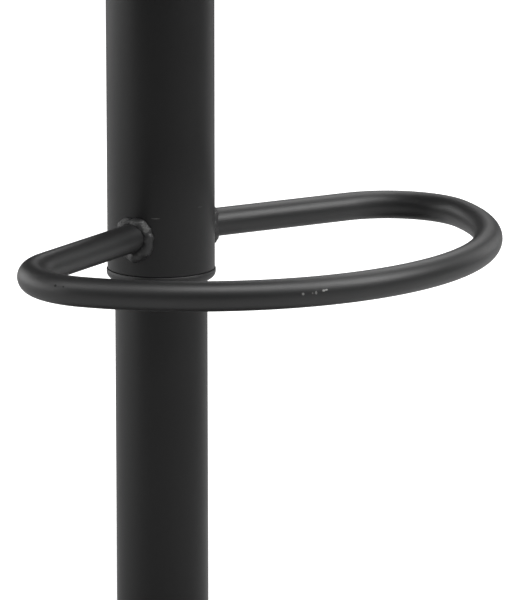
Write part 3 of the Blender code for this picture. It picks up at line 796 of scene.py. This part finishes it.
@dataclass
class Footrest:
    """The bent loop and the welds that join it to the cover tube."""

    tube_r: float = 7.75 * MM
    front: float = 183 * MM
    front_r: float = 155 * MM
    corner_r: float = 43 * MM
    arm_angle: float = math.radians(75.3)
    height: float = 21 * MM
    sink: float = 1.2 * MM
    sides: int = 64
    bead_r: float = 3.4 * MM
    bead_sag: float = 0.9 * MM
    bead_out: float = 0.9 * MM
    bead_steps: int = 170
    blobs: tuple[Blob, ...] = (
        Blob(126.0, 20.0, 0.26),
        Blob(92.0, 8.0, -0.12),
        Blob(56.0, 16.0, 0.34),
        Blob(33.0, 7.0, 0.16),
        Blob(8.0, 12.0, 0.10),
        Blob(322.0, 16.0, 0.24),
        Blob(282.0, 22.0, 0.44),
        Blob(205.0, 24.0, 0.18),
    )

    def __post_init__(self) -> None:
        """Works out the corner's place from the arm and the front arc."""
        low, high = corners("cover_tube")
        self.cover_r = high.x
        self.z = low.z + self.height
        along = Vector((math.sin(self.arm_angle), math.cos(self.arm_angle)))
        ahead = Vector((-along.y, along.x))
        self.arc_ahead = self.front - self.front_r
        offset = ahead * self.corner_r - Vector((0, self.arc_ahead))
        half_b = offset.dot(along)
        rest = offset.length_squared - (self.front_r - self.corner_r) ** 2
        self.arm = -half_b + math.sqrt(half_b**2 - rest)
        self.corner = along * self.arm + ahead * self.corner_r
        self.front_half = math.atan2(self.corner.x, self.corner.y - self.arc_ahead)

    def build(self) -> None:
        """Makes the pieces."""
        coat_marks = (
            CoatMark(self.on_front(-26.0, 6.5), 0.8 * MM, (1.0, 1.0, 1.0), 0.4),
            CoatMark(self.on_front(-23.5, 7.5), 0.85 * MM, (1.2, 1.2, 0.8), 0.35),
            CoatMark(self.on_front(-24.2, 7.0), 0.5 * MM, (1.0, 1.0, 1.0), 0.25),
            CoatMark(self.on_front(-22.0, 13.0), 1.0 * MM, (1.0, 1.0, 1.4), 0.6),
            CoatMark(self.on_front(-21.5, 15.0), 0.8 * MM, (0.8, 0.8, 1.5), 0.75),
        )
        # Small dents at the left bend, their colour darkened to near black: painted shade in the pits.
        pits_with_painted_shade = (
            CoatMark(self.on_corner(188.3, 26.0), 0.85 * MM, strength=-1.0),
            CoatMark(self.on_corner(193.9, 26.0), 0.6 * MM, strength=-1.0),
        )
        marks = coat_marks + pits_with_painted_shade
        # The footrest's coat is a third lighter than the tubes': painted light, where the footrest catches
        # more of the top light.
        coat = PowderCoat("powder_coat_on_footrest", roughness=0.47, lift=1.0, ior=1.52, coat_marks=marks)
        finished("bent_footrest_tube", self.loop(), coat, Body.SEAT, ("footrest_loop",))
        # Pale spots on the right weld's upper side: painted highlights where the top light falls.
        painted_bead_highlights = (
            CoatMark(self.on_bead(-1, 50.0), 1.5 * MM, strength=0.12),
            CoatMark(self.on_bead(-1, 36.0), 2.2 * MM, strength=0.15),
            CoatMark(self.on_bead(-1, 112.0), 2.4 * MM, strength=0.12),
        )
        for side, name, marks in ((-1, "right", painted_bead_highlights), (1, "left", ())):
            # The welds' coat is twice as light as the tubes': painted light on the beads.
            coat = PowderCoat(
                "powder_coat_on_weld_" + name, 0.5, depth=0.12 * MM, lift=1.5, ior=1.5, coat_marks=marks
            )
            node = "footrest_weld_" + name
            finished("weld_bead_" + name, self.bead(side), coat, Body.SEAT, (node,), sharp=80.0)

    def on_front(self, turn: float, lift: float) -> Place:
        """A point on the front arc's tube.

        Args:
            turn: degrees round from straight ahead, towards the sitter's left.
            lift: degrees up from the tube's outer side.

        Returns:
            The point.
        """
        out = self.front_r + self.tube_r * math.cos(math.radians(lift))
        angle = math.radians(turn)
        z = self.z + self.tube_r * math.sin(math.radians(lift))
        return (out * math.sin(angle), -self.arc_ahead - out * math.cos(angle), z)

    def on_corner(self, turn: float, lift: float) -> Place:
        """A point on the right corner's tube; turn is in degrees in plan, lift as on the front."""
        out = self.corner_r + self.tube_r * math.cos(math.radians(lift))
        angle = math.radians(turn)
        z = self.z + self.tube_r * math.sin(math.radians(lift))
        return (out * math.cos(angle) - self.corner.x, out * math.sin(angle) - self.corner.y, z)

    def on_bead(self, side: int, turn: float) -> Place:
        """A point on an arm's weld; turn is in degrees round the arm, from the side that faces ahead."""
        arm = self.arm_direction(side)
        reach = self.tube_r + self.bead_r
        across = Vector((0, 0, 1)).cross(arm) * reach * math.cos(math.radians(turn))
        rise = self.z - self.bead_sag + reach * math.sin(math.radians(turn))
        return tuple(across + arm * (self.cover_r + 1.5 * MM) + Vector((0, 0, rise)))

    def arm_direction(self, side: int) -> Vector:
        """Which way an arm points, away from the column; side is 1 for the sitter's left."""
        return Vector((side * math.sin(self.arm_angle), -math.cos(self.arm_angle), 0.0))

    def loop(self) -> bmesh.types.BMesh:
        """Bends the tube: out along the right arm, round the front and back along the left arm."""
        form = bmesh.new()
        out = self.arm_direction(-1)
        begin = self.cover_r - self.sink
        start = out * begin + Vector((0, 0, self.z))
        stand = out.to_track_quat("Z", "X").to_matrix().to_4x4()
        place = Matrix.Translation(start) @ stand
        bmesh.ops.create_circle(
            form, cap_ends=False, segments=self.sides, radius=self.tube_r, matrix=place
        )
        first = list(form.edges)
        ring = self.straight(form, first, out * (self.arm - begin), 24)
        corner_sweep = math.pi / 2 + self.arm_angle - self.front_half
        ring = self.bend(form, ring, (-self.corner.x, -self.corner.y), corner_sweep, 40)
        ring = self.bend(form, ring, (0.0, -self.arc_ahead), 2 * self.front_half, 110)
        ring = self.bend(form, ring, (self.corner.x, -self.corner.y), corner_sweep, 40)
        last = self.straight(form, ring, self.arm_direction(1) * (begin - self.arm), 24)
        bmesh.ops.holes_fill(form, edges=first + last, sides=self.sides)
        bmesh.ops.remove_doubles(form, verts=form.verts, dist=0.000005)
        bmesh.ops.recalc_face_normals(form, faces=form.faces)
        return form

    @staticmethod
    def straight(
        form: bmesh.types.BMesh, ring: list[bmesh.types.BMEdge], move: Vector, pieces: int
    ) -> list[bmesh.types.BMEdge]:
        """Draws the tube's end out straight.

        Args:
            form: the shape.
            ring: the edges of its open end.
            move: how far, and which way.
            pieces: how many lengths it is drawn in.

        Returns:
            The new end's edges.
        """
        for _ in range(pieces):
            grown = bmesh.ops.extrude_edge_only(form, edges=ring)["geom"]
            verts = [g for g in grown if isinstance(g, bmesh.types.BMVert)]
            bmesh.ops.translate(form, verts=verts, vec=move / pieces)
            fresh = set(verts)
            ring = [
                g for g in grown if isinstance(g, bmesh.types.BMEdge) and set(g.verts) <= fresh
            ]
        return ring

    def bend(
        self,
        form: bmesh.types.BMesh,
        ring: list[bmesh.types.BMEdge],
        centre: Point,
        sweep: float,
        steps: int,
    ) -> list[bmesh.types.BMEdge]:
        """Bends the tube's end round an upright axis.

        Args:
            form: the shape.
            ring: the edges of its open end.
            centre: the axis in plan.
            sweep: the angle of the bend.
            steps: how many lengths it has.

        Returns:
            The new end's edges.
        """
        verts = {v for e in ring for v in e.verts}
        bent = bmesh.ops.spin(
            form,
            geom=list(verts) + ring,
            cent=(*centre, self.z),
            axis=(0, 0, 1),
            dvec=(0, 0, 0),
            angle=sweep,
            steps=steps,
            use_merge=False,
            use_duplicate=False,
        )
        return [g for g in bent["geom_last"] if isinstance(g, bmesh.types.BMEdge)]

    def bead(self, side: int) -> bmesh.types.BMesh:
        """Lays the weld round an arm: a lumpy roll that follows the cover tube's curve.

        Args:
            side: 1 for the sitter's left arm and -1 for the right.

        Returns:
            The bead's shape.
        """
        middle = self.tube_r + self.bead_out
        form = cord_ring(middle, self.bead_r, 28, self.bead_steps)
        for vert in form.verts:
            self.lump(vert, middle, side)
        arm = self.arm_direction(side)
        up = Vector((0, 0, 1))
        stand = Matrix((up.cross(arm), up, arm)).transposed().to_4x4()
        place = Matrix.Translation((0, 0, self.z - self.bead_sag))
        bmesh.ops.transform(form, verts=form.verts, matrix=place @ stand)
        bmesh.ops.recalc_face_normals(form, faces=form.faces)
        return form

    def lump(self, vert: bmesh.types.BMVert, middle: float, side: int) -> None:
        """Swells one point of a bead, and moves it out to the cover tube's surface.

        Args:
            vert: the point, on a plain ring round the arm's axis, with X across the arm and Y up.
            middle: the ring's radius.
            side: which arm, which picks the pattern.
        """
        turn = math.atan2(vert.co.y, vert.co.x)
        radial = Vector((math.cos(turn), math.sin(turn), 0.0))
        heart = radial * middle
        offset = vert.co - heart
        swell = 0.80 + 0.16 * noise.noise(Vector((radial.x * 2.2, radial.y * 2.2, side * 3.3)))
        swell += 0.15 * noise.noise(heart * 420.0 + offset * 160.0 + Vector((side * 5.0, 0, 0)))
        swell += 0.06 * noise.noise(vert.co * 1300.0)
        for blob in self.blobs:
            away = math.remainder(turn - math.radians(blob.turn), 2 * math.pi)
            swell += blob.swell * math.exp(-((away / math.radians(blob.spread)) ** 2))
        placed = heart + offset * swell
        placed.z += math.sqrt(max(self.cover_r**2 - placed.x**2, 0.0)) + 0.4 * MM
        vert.co = placed


@dataclass
class SeatPan:
    """The pressed pan under the seat, its screws and the lever's bracket."""

    screws: int = 4

    def build(self) -> None:
        """Makes the pieces."""
        refined("seat_pan", COAT, Body.SEAT, 0.7 * MM)
        refined("lever_bracket", COAT, Body.SEAT, 0.4 * MM)
        refined("lever_pivot_pin", STEEL, Body.SEAT, 0.4 * MM)
        for number in range(1, self.screws + 1):
            self.screw(number)
            redress(STEEL, f"tee_nut_{number}")

    @staticmethod
    def screw(number: int) -> None:
        """Turns one button head screw and sinks its hexagon socket.

        Args:
            number: which screw.
        """
        node = f"seat_screw_{number}"
        low, high = corners(node)
        centre = (low + high) / 2
        head_r = (high.x - low.x) / 2
        shank = head_r / 2
        seat_z = low.z + 3.3 * MM
        dome = [
            (head_r * math.sin(a), seat_z - 3.3 * MM * (0.15 + 0.85 * math.cos(a)))
            for a in (math.radians(d) for d in (24, 35, 47, 60, 75, 90))
        ]
        socket_r = head_r * 0.38
        profile = [
            (0, low.z + 1.9 * MM),
            (socket_r, low.z + 1.7 * MM),
            (socket_r, low.z + 0.12 * MM),
            *dome,
            (head_r, seat_z),
            (shank, seat_z),
            (shank, high.z - 0.8 * MM),
            (shank - 0.6 * MM, high.z),
            (0, high.z),
        ]
        form = turned(profile, 48, closed=False)
        bmesh.ops.translate(form, verts=form.verts, vec=(centre.x, centre.y, 0))
        name = f"button_head_screw_{number}"
        finished(name, form, STEEL, Body.SEAT, (node,), sharp=35.0)


@dataclass
class Lever:
    """The release lever: a bent steel rod with a moulded grip."""

    ribs: int = 6

    def build(self) -> None:
        """Makes the pieces."""
        refined("lever_rod", STEEL, Body.LEVER)
        finished("moulded_grip", self.grip(), GRIP_PLASTIC, Body.LEVER, ("lever_grip",))

    def grip(self) -> bmesh.types.BMesh:
        """Shapes the grip: a rounded paddle with finger ribs above and below."""
        low, high = corners("lever_grip")
        centre, size = (low + high) / 2, high - low
        form = bmesh.new()
        bmesh.ops.create_cube(form, size=1.0)
        core = Matrix.Diagonal((size.x, size.y, size.z - 1.4 * MM, 1.0))
        bmesh.ops.transform(form, verts=form.verts, matrix=Matrix.Translation(centre) @ core)
        round_edges(form, list(form.edges), 4.6 * MM, 8)
        for i in range(self.ribs):
            made = bmesh.ops.create_cube(form, size=1.0)["verts"]
            x = low.x + size.x * (0.24 + 0.1 * i)
            shape = Matrix.Diagonal((1.9 * MM, size.y * 0.72, size.z, 1.0))
            place = Matrix.Translation((x, centre.y, centre.z))
            bmesh.ops.transform(form, verts=made, matrix=place @ shape)
            edges = list({e for v in made for e in v.link_edges})
            round_edges(form, edges, 0.7 * MM, 3)
        bmesh.ops.recalc_face_normals(form, faces=form.faces)
        return form


@dataclass
class Seat:
    """The round upholstered seat on its plywood board."""

    seam_r: float = 186.0 * MM
    seam_drop: float = 14 * MM
    foot_rise: float = 2.6 * MM
    voxel: float = 5 * MM
    most_swell: float = 10 * MM
    pressure: float = 4.0
    piping_r: float = 2.5 * MM
    stitch_length: float = 4.6 * MM
    stitch_pitch: float = 6.4 * MM

    def build(self) -> None:
        """Makes the pieces."""
        self.low, self.high = corners("seat_cushion")
        self.board_low, self.board_high = corners("seat_board")
        self.seam_z = self.high.z - self.seam_drop
        redress(PLYWOOD, "seat_board")
        refined("underside_panel", FELT, Body.SEAT)
        pad = self.pad()
        self.surface = BVHTree.FromObject(pad, bpy.context.evaluated_depsgraph_get())
        self.piping()
        self.stitches("band_stitches", self.seam_z - 8 * MM)
        self.stitches("foot_stitches", self.low.z + 13 * MM)
        self.wrap()

    def pad(self) -> bpy.types.Object:
        """Makes the padded cushion: a drum sewn at its shoulder and blown up by its filling."""
        foot = self.low.z + self.foot_rise
        inner = self.board_high.x + 0.5 * MM
        base = self.board_high.z + 0.5 * MM
        seam = self.seam_z
        profile = [
            (0, seam + 5 * MM),
            (70 * MM, seam + 4.6 * MM),
            (130 * MM, seam + 3.4 * MM),
            (170 * MM, seam + 1.4 * MM),
            (self.seam_r - 3 * MM, seam + 0.6 * MM),
            (self.seam_r, seam - 2 * MM),
            (self.seam_r, seam - 30 * MM),
            (self.seam_r, foot + 5 * MM),
            (self.seam_r - 3 * MM, foot),
            (inner, foot),
            (inner, base),
            (0, base),
        ]
        form = turned(profile, 128, closed=False)
        pad = finished(
            "padded_cushion", form, LEATHERETTE, Body.SEAT, ("seat_cushion",), sharp=180.0
        )
        self.remesh(pad)
        self.inflate(pad)
        self.pucker(pad)
        finer = pad.modifiers.new("finer", "SUBSURF")
        finer.levels = finer.render_levels = 1
        self.apply(pad, finer)
        return pad

    @staticmethod
    def apply(piece: bpy.types.Object, modifier: bpy.types.Modifier) -> None:
        """Makes a modifier's result the piece's own mesh."""
        graph = bpy.context.evaluated_depsgraph_get()
        result = bpy.data.meshes.new_from_object(piece.evaluated_get(graph), depsgraph=graph)
        piece.modifiers.remove(modifier)
        result.shade_smooth()
        old = piece.data
        piece.data = result
        bpy.data.meshes.remove(old)

    def remesh(self, pad: bpy.types.Object) -> None:
        """Gives the pad an even mesh for its filling to push on."""
        even = pad.modifiers.new("even", "REMESH")
        even.mode = "VOXEL"
        even.voxel_size = self.voxel
        even.use_smooth_shade = True
        self.apply(pad, even)
        if not pad.data.materials:
            pad.data.materials.append(FINISHES.get(LEATHERETTE))

    def inflate(self, pad: bpy.types.Object) -> None:
        """Blows the pad up, held at its sewn shoulder and where it is tacked to the board."""
        rest = [vert.co.copy() for vert in pad.data.vertices]
        held = pad.vertex_groups.new(name="held")
        for vert in pad.data.vertices:
            radius = math.hypot(vert.co.x, vert.co.y)
            at_seam = math.hypot(radius - self.seam_r, vert.co.z - self.seam_z) < 5.5 * MM
            at_board = vert.co.z < self.board_high.z + 2 * MM and radius < self.seam_r - 4 * MM
            at_foot = vert.co.z < self.low.z + 7 * MM
            if at_seam or at_board or at_foot:
                held.add([vert.index], 1.0, "REPLACE")
        cloth = pad.modifiers.new("filling", "CLOTH")
        settings = cloth.settings
        settings.quality = 6
        settings.mass = 0.25
        settings.tension_stiffness = 18.0
        settings.compression_stiffness = 18.0
        settings.shear_stiffness = 8.0
        settings.bending_stiffness = 1.0
        settings.use_pressure = True
        settings.uniform_pressure_force = self.pressure
        settings.vertex_group_mass = "held"
        settings.effector_weights.gravity = 0.0
        scene = bpy.context.scene
        for frame in range(1, 21):
            scene.frame_set(frame)
        self.apply(pad, cloth)
        for vert, start in zip(pad.data.vertices, rest):
            move = vert.co - start
            eased = self.most_swell * math.tanh(move.length / self.most_swell)
            vert.co = start + move.normalized() * eased
        scene.frame_set(1)
        LOG.info("padded_cushion: filled")

    def pucker(self, pad: bpy.types.Object) -> None:
        """Draws the cover in at the shoulder seam, with the small tucks that sewing leaves."""
        form = bmesh.new()
        form.from_mesh(pad.data)
        for _ in range(3):
            bmesh.ops.smooth_vert(
                form,
                verts=form.verts,
                factor=0.5,
                use_axis_x=True,
                use_axis_y=True,
                use_axis_z=True,
            )
        for vert in form.verts:
            radius = math.hypot(vert.co.x, vert.co.y)
            gap = math.hypot(radius - self.seam_r, vert.co.z - self.seam_z)
            near = math.exp(-((gap / (16 * MM)) ** 2))
            turn = math.atan2(vert.co.y, vert.co.x)
            tuck = math.sin(turn * 47 + 2.2 * math.sin(turn * 5 + 0.7))
            soft = noise.noise(vert.co * 11.0)
            outward = Vector((vert.co.x, vert.co.y, 0.0)) / max(radius, 1e-6)
            if radius > 60 * MM and vert.co.z > self.low.z + 10 * MM:
                vert.co += outward * (0.32 * MM * near * tuck + 0.9 * MM * soft)
            if vert.co.z > self.seam_z:
                vert.co.z += 1.1 * MM * noise.noise(vert.co * 14.0 + Vector((3, 1, 0)))
        form.to_mesh(pad.data)
        form.free()

    def skin(self, turn: float, height: float) -> tuple[Vector, Vector]:
        """The cushion's side at an angle and a height.

        Args:
            turn: the angle round the seat, in radians.
            height: the height.

        Returns:
            The point on the cover, and the way it faces.
        """
        out = Vector((math.cos(turn), math.sin(turn), 0.0))
        origin = out * 0.3 + Vector((0, 0, height))
        place, normal, _, _ = self.surface.ray_cast(origin, -out)
        if place is None:
            return out * self.seam_r + Vector((0, 0, height)), out
        return place, normal

    def shoulder(self, out: Vector) -> Vector:
        """Where the piping's middle lies on the cushion's shoulder, in a given direction."""
        slant = (out + Vector((0, 0, 1))).normalized()
        corner = out * self.seam_r + Vector((0, 0, self.seam_z))
        place, _, _, _ = self.surface.ray_cast(corner + slant * 0.05, -slant)
        return (place or corner) + slant * (self.piping_r * 0.3)

    def piping(self) -> None:
        """Sews a corded piping into the shoulder seam."""
        form = cord_ring(self.seam_r, self.piping_r, 16, 360)
        for vert in form.verts:
            turn = math.atan2(vert.co.y, vert.co.x)
            out = Vector((math.cos(turn), math.sin(turn), 0.0))
            vert.co += self.shoulder(out) - out * self.seam_r
        bmesh.ops.recalc_face_normals(form, faces=form.faces)
        finished("shoulder_piping", form, LEATHERETTE, Body.SEAT, sharp=180.0)

    def stitches(self, name: str, height: float) -> None:
        """Runs a line of stitches round the band.

        Args:
            name: the piece's name.
            height: the line's height.
        """
        form = bmesh.new()
        count = round(2 * math.pi * self.seam_r / self.stitch_pitch)
        for i in range(count):
            turn = 2 * math.pi * i / count
            place, normal = self.skin(turn, height)
            made = bmesh.ops.create_icosphere(form, subdivisions=1, radius=1.0)["verts"]
            along = Vector((-math.sin(turn), math.cos(turn), 0.06))
            facing = Matrix((along.normalized(), normal.cross(along).normalized(), normal)).transposed()
            shape = Matrix.Diagonal((self.stitch_length / 2, 0.5 * MM, 0.42 * MM, 1.0))
            spot = Matrix.Translation(place + normal * 0.12 * MM) @ facing.to_4x4() @ shape
            bmesh.ops.transform(form, verts=made, matrix=spot)
        bmesh.ops.recalc_face_normals(form, faces=form.faces)
        finished(name, form, THREAD, Body.SEAT, sharp=180.0)

    def wrap(self) -> None:
        """Turns the cover's hem in under the board, gathered in small pleats."""
        hem_in = self.board_high.x - 20 * MM + 0.4 * MM
        foot = self.low.z
        top = self.board_low.z - 0.4 * MM
        outline = [
            (hem_in, top),
            (self.seam_r - 7 * MM, top),
            (self.seam_r - 5 * MM, top - 1.2 * MM),
            (self.seam_r - 9 * MM, foot + 0.5 * MM),
            (hem_in + 2 * MM, foot + 1.0 * MM),
            (hem_in, foot + 1.5 * MM),
        ]
        form = turned(softened(outline, 0.8 * MM, 3), 360)
        for vert in form.verts:
            if vert.co.z < top - 0.9 * MM:
                turn = math.atan2(vert.co.y, vert.co.x)
                vert.co.z += 0.32 * MM * math.sin(turn * 58 + 1.7 * math.sin(turn * 7))
        finished("cover_hem", form, LEATHERETTE, Body.SEAT, sharp=70.0)


@dataclass(frozen=True)
class Lamp:
    """A softbox: degrees round from the camera's side towards its right, rise in degrees, watts."""

    name: str
    around: float
    rise: float
    power: float


@dataclass
class Studio:
    """A pale floor, soft lights and the camera."""

    yaw: float = math.radians(-45.76)
    pitch: float = math.radians(12.18)
    lens: float = 291.9
    back: float = 2.568
    aside: float = 0.0538
    above: float = 0.5358
    floor_glow: float = 1.0
    room_light: float = 0.03
    lamp_target: float = 0.35
    lamp_reach: float = 2.4
    lamp_size: float = 1.1
    lamps: tuple[Lamp, ...] = (
        Lamp("left_front_softbox", -75.0, 8.0, 9.0),
        Lamp("left_softbox", -105.0, 8.0, 12.0),
        Lamp("left_back_softbox", -135.0, 8.0, 9.0),
        Lamp("right_back_softbox", 135.0, 8.0, 6.2),
        Lamp("right_high_softbox", 75.0, 38.0, 42.0),
        Lamp("back_high_softbox", 165.0, 38.0, 10.5),
        Lamp("front_top_softbox", 15.0, 65.0, 27.0),
        Lamp("right_top_softbox", 46.0, 56.0, 15.0),
        Lamp("left_top_softbox", -62.0, 45.0, 18.0),
        Lamp("back_top_softbox", 155.0, 62.0, 12.0),
    )

    def build(self) -> None:
        """Makes the floor, the lights and the camera."""
        self.right = Vector((math.cos(self.yaw), math.sin(self.yaw), 0.0))
        self.away = Vector((-math.sin(self.yaw), math.cos(self.yaw), 0.0))
        self.floor()
        self.sky()
        for lamp in self.lamps:
            self.softbox(lamp)
        self.camera()

    def floor(self) -> None:
        """Lays a pale matte floor."""
        form = bmesh.new()
        bmesh.ops.create_grid(form, x_segments=2, y_segments=2, size=30.0)
        mesh = bpy.data.meshes.new("pale_floor")
        form.to_mesh(mesh)
        form.free()
        bench = Bench("pale_floor")
        tone = bench.blend(bench.speckle(1.5, 2.0), (0.59, 0.59, 0.59), (0.61, 0.61, 0.61))
        seen = Wire(bench, bench.node("ShaderNodeLightPath").outputs["Is Camera Ray"])
        share = seen * (0.42 + bench.step(bench.reach((0, 0, 0)), 0.4, 1.4) * 0.58)
        glow = bench.blend(share, (0.0, 0.0, 0.0), (self.floor_glow,) * 3)
        bench.shade(Base_Color=tone, Roughness=0.9, Emission_Color=glow, Emission_Strength=1.0)
        mesh.materials.append(bench.material)
        plane = bpy.data.objects.new("pale_floor", mesh)
        bpy.context.scene.collection.objects.link(plane)

    def sky(self) -> None:
        """Fills the room with a little even light, behind a pale backdrop."""
        world = bpy.data.worlds.new("room")
        bpy.context.scene.world = world
        world.use_nodes = True
        tree = world.node_tree
        shade = tree.nodes["Background"]
        shade.inputs["Color"].default_value = (1.0, 1.0, 1.0, 1.0)
        seen = tree.nodes.new("ShaderNodeLightPath")
        strength = tree.nodes.new("ShaderNodeMapRange")
        strength.inputs["To Min"].default_value = self.room_light
        strength.inputs["To Max"].default_value = 1.0
        tree.links.new(seen.outputs["Is Camera Ray"], strength.inputs["Value"])
        tree.links.new(strength.outputs[0], shade.inputs["Strength"])

    def softbox(self, lamp: Lamp) -> None:
        """Hangs a square soft light, pointed at the stool."""
        around, rise = math.radians(lamp.around), math.radians(lamp.rise)
        level = self.right * math.sin(around) - self.away * math.cos(around)
        target = Vector((0, 0, self.lamp_target))
        place = target + (level * math.cos(rise) + Vector((0, 0, math.sin(rise)))) * self.lamp_reach
        light = bpy.data.lights.new(lamp.name, "AREA")
        light.shape = "SQUARE"
        light.size = self.lamp_size
        light.energy = lamp.power
        holder = bpy.data.objects.new(lamp.name, light)
        holder.location = place
        holder.rotation_euler = (target - place).to_track_quat("-Z", "Y").to_euler()
        holder.visible_camera = False
        bpy.context.scene.collection.objects.link(holder)

    def camera(self) -> None:
        """Sets the camera up with a long lens, looking slightly down at the footrest."""
        lens = bpy.data.cameras.new("long_lens")
        lens.lens = self.lens
        lens.sensor_width = 36.0
        lens.clip_start = 0.05
        lens.clip_end = 200.0
        holder = bpy.data.objects.new("camera", lens)
        cover_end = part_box("cover_tube")[0][2]
        spot = self.right * self.aside - self.away * self.back
        holder.location = spot + Vector((0, 0, cover_end + self.above))
        look = self.away * math.cos(self.pitch) - Vector((0, 0, math.sin(self.pitch)))
        holder.rotation_euler = look.to_track_quat("-Z", "Y").to_euler()
        scene = bpy.context.scene
        scene.collection.objects.link(holder)
        scene.camera = holder
        scene.view_settings.view_transform = "Standard"


def main() -> None:
    """Builds the stool and its studio."""
    logging.basicConfig(level=logging.INFO, format="%(message)s")
    for assembly in (Base(), Column(), Cover(), Footrest(), SeatPan(), Lever(), Seat(), Studio()):
        LOG.info("building %s", type(assembly).__name__)
        assembly.build()


if __name__ == "__main__":
    main()
